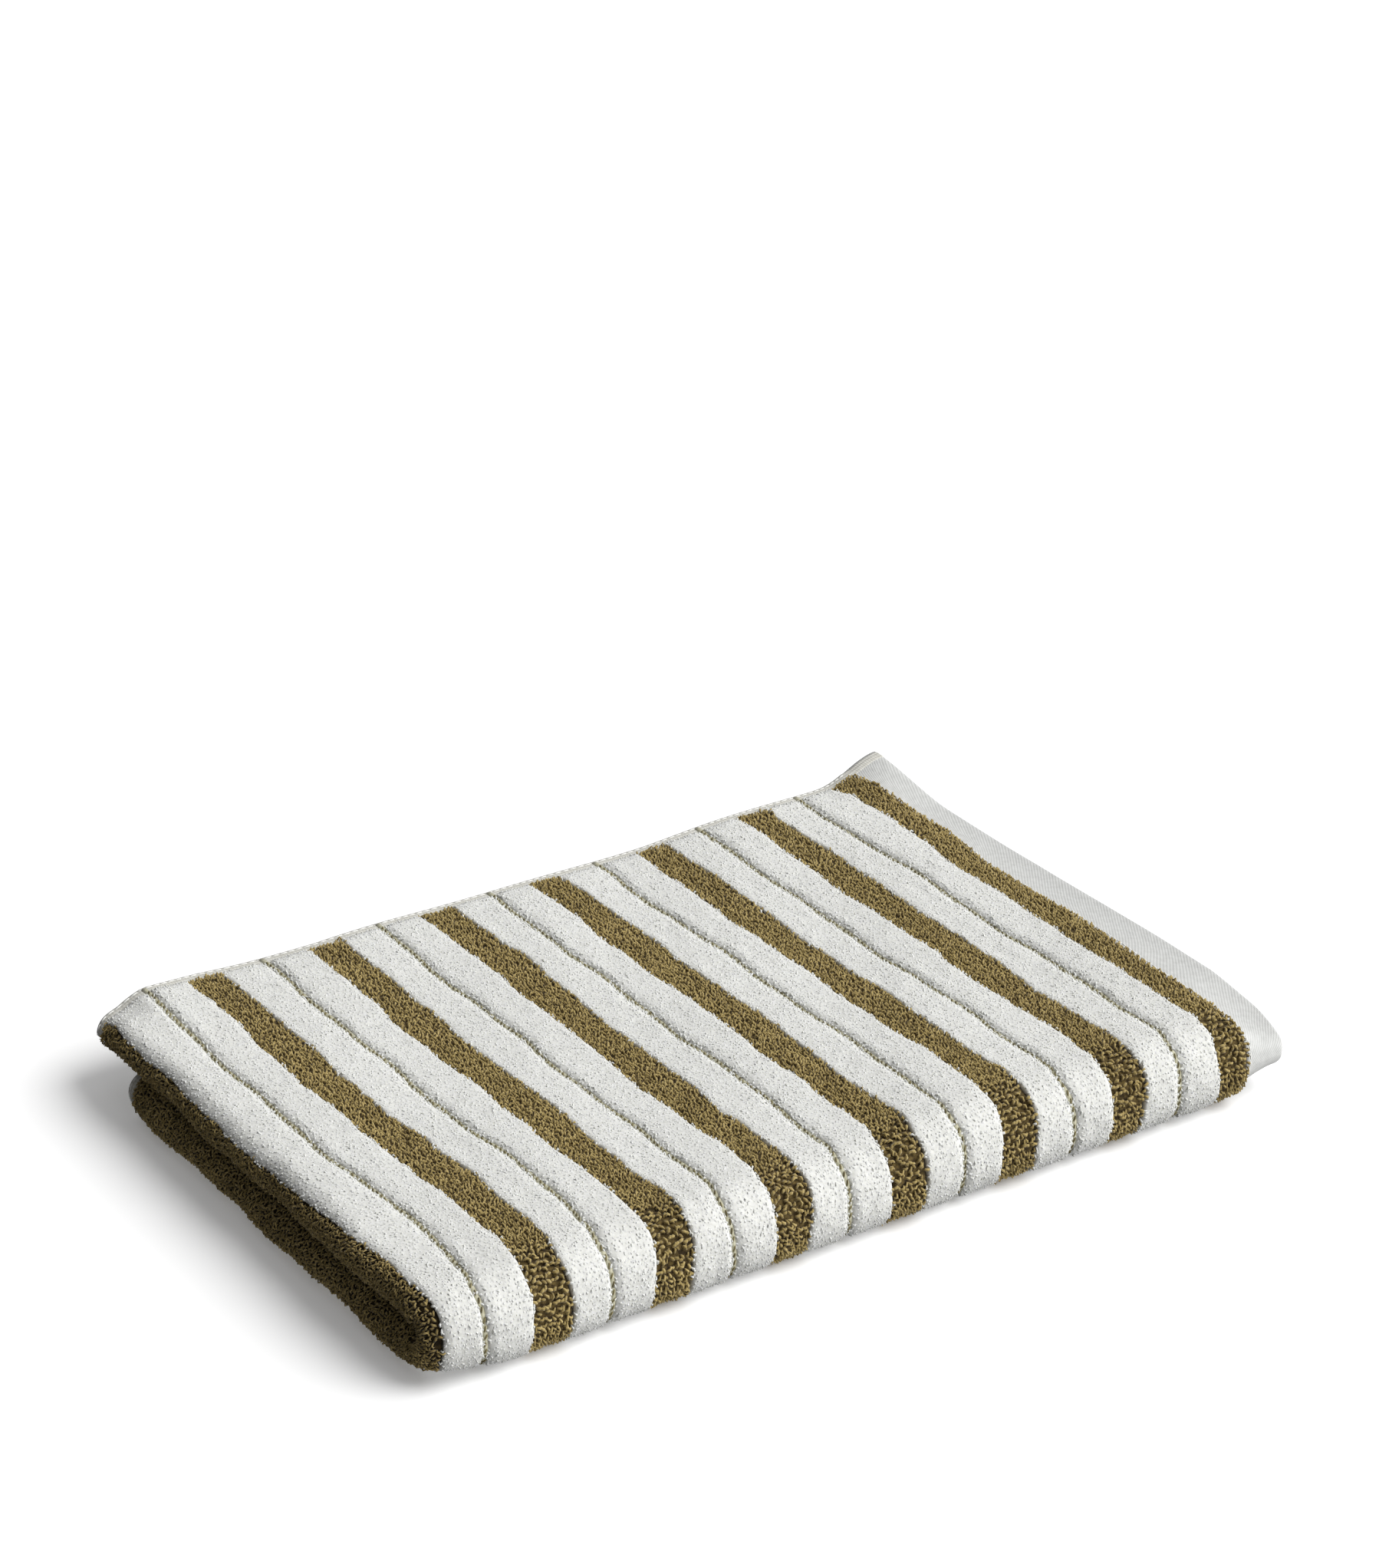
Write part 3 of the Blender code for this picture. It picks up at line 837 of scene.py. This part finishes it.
def side_hem(half, back, out):
    """The hem of a long side, sewn over the ends of the end hems and rounded off at the towel's corners."""
    along = np.unique(np.concatenate([
        np.linspace(-END_U, -ROLL_HALF, 120),
        np.linspace(-ROLL_HALF, ROLL_HALF, 15),
        np.linspace(ROLL_HALF, END_U, 120),
        np.linspace(END_U - 1.5 * MM, END_U + 0.1 * MM, 6),
        np.linspace(-END_U - 0.1 * MM, -END_U + 1.5 * MM, 6),
    ]))[:, None]
    over_end = smooth((np.abs(along) - HEM_U + 1.5 * MM) / (3 * MM))
    rounded = np.sqrt(1 - np.clip((np.abs(along) - END_U + 1.4 * MM) / (1.55 * MM), 0, 0.99) ** 2)
    turn = np.linspace(math.pi / 2, -math.pi / 2, 6)[1:-1]
    flat = np.linspace(back - out * SIDE_HEM, back - out * 1.6 * MM, 4)
    s = np.concatenate([flat, back + out * (1.5 * np.cos(turn) - 1.6) * MM, flat[::-1]])[None, :]
    profile = np.concatenate([np.ones(4), np.sin(turn), -np.ones(4)])[None, :]
    if half == "lower":
        s, profile = s[:, ::-1], profile[:, ::-1]
    d = (profile * (1.2 + 0.35 * over_end) * rounded + 1.2 * (1 - over_end)) * MM
    return strips(f"{half}_side_hem", [(along, s, d)], [SIDE_HEM_CLOTH])


def side_seam(half, back, out):
    """The seam of a side hem."""
    u = np.arange(-HEM_U + 2 * MM, HEM_U - 2 * MM, STITCH)
    s = np.full(len(u), back - out * 1.9 * MM)
    return stitches(f"{half}_side_hem_stitching", u, s, 2.15 * MM, 2.7 * MM, 0.0)


def half_towel(half, seed):
    """The roll, the faces inside the fold and the side hem of one half, which all ride on it."""
    if half == "upper":
        s_from, s_to, out = BEND, UPPER_END, 1
    else:
        s_from, s_to, out = LOWER_END, -BEND, -1
    roll = [
        pile(f"{half}_roll_pile", "olive", -ROLL_INNER, ROLL_OLIVE, s_from, s_to, SHADED_ROLL_PILE, deep=ROLL_DEPTH),
        loops(f"{half}_roll_loops", "olive", -ROLL_INNER - STRAY, ROLL_OLIVE + STRAY, s_from, s_to, SHADED_ROLL_YARN,
              seed, spans=(0.5, 0.85), **ROLL_LOOPS),
    ]
    # The inner plies' pile stops short of the fold line, so that it stays clear when the towel opens.
    if half == "upper":
        s_from += INNER_CLEARANCE
    else:
        s_to -= INNER_CLEARANCE
    made = roll + [
        pile(f"{half}_inner_olive_pile", "olive", -PILE_END, INNER_OLIVE, s_from, s_to, SHADED_OLIVE_PILE),
        pile(f"{half}_inner_white_pile", "white", -PILE_END, -ROLL_INNER, s_from, s_to, WHITE_PILE),
        loops(f"{half}_inner_olive_loops", "olive", -PILE_END, INNER_OLIVE, s_from, s_to, OLIVE_YARN,
              seed + 1, **INNER_LOOPS),
        loops(f"{half}_inner_white_loops", "white", -PILE_END, -ROLL_INNER - STRAY, s_from, s_to, WHITE_YARN,
              seed + 2, **INNER_LOOPS),
        inner_groove_cloth(half, s_from, s_to),
        side_hem(half, BACK_S[half], out),
        side_seam(half, BACK_S[half], out),
    ]
    for piece in made:
        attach(piece, f"{half}_half")
    return made


half_pieces = {"upper": half_towel("upper", 50), "lower": half_towel("lower", 60)}

roll_bend = pile("front_roll_pile", "olive", -ROLL_INNER, ROLL_OLIVE, -BEND, BEND, SHADED_ROLL_PILE, deep=ROLL_DEPTH)
roll_bend_loops = loops(
    "front_roll_loops", "olive", -4.0 * MM, ROLL_OLIVE + STRAY, -BEND, BEND, SHADED_ROLL_YARN, 71, **ROLL_LOOPS)
for piece in (roll_bend, roll_bend_loops):
    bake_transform(piece)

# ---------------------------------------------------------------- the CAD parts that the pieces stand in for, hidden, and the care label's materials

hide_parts("outer_front_bend")
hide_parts("upper_outer_terry_panel", "lower_outer_terry_panel")
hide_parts("inner_front_bend")
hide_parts("upper_outer_end_hem", "lower_outer_end_hem", "outer_end_hem_front_bend")
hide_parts("upper_inner_end_hem", "lower_inner_end_hem", "inner_end_hem_front_bend")
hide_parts("upper_outer_end_hem_stitching", "lower_outer_end_hem_stitching",
            "outer_end_hem_bend_stitching")
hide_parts("upper_inner_end_hem_stitching", "lower_inner_end_hem_stitching",
            "inner_end_hem_bend_stitching")
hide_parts("end_roll_front_bend")
for half, made in half_pieces.items():
    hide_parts(f"{half}_end_roll")
    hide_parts(f"{half}_inner_terry_panel")
    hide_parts(f"{half}_outer_side_hem", f"{half}_inner_side_hem", f"{half}_end_roll_side_hem")
    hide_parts(f"{half}_outer_side_hem_stitching", f"{half}_inner_side_hem_stitching")

for name, material in (("care_label", LABEL_MATERIAL), ("care_label_stitching", THREAD_MATERIAL)):
    for material_slot in frame["nodes"][name].material_slots:
        material_slot.material = material
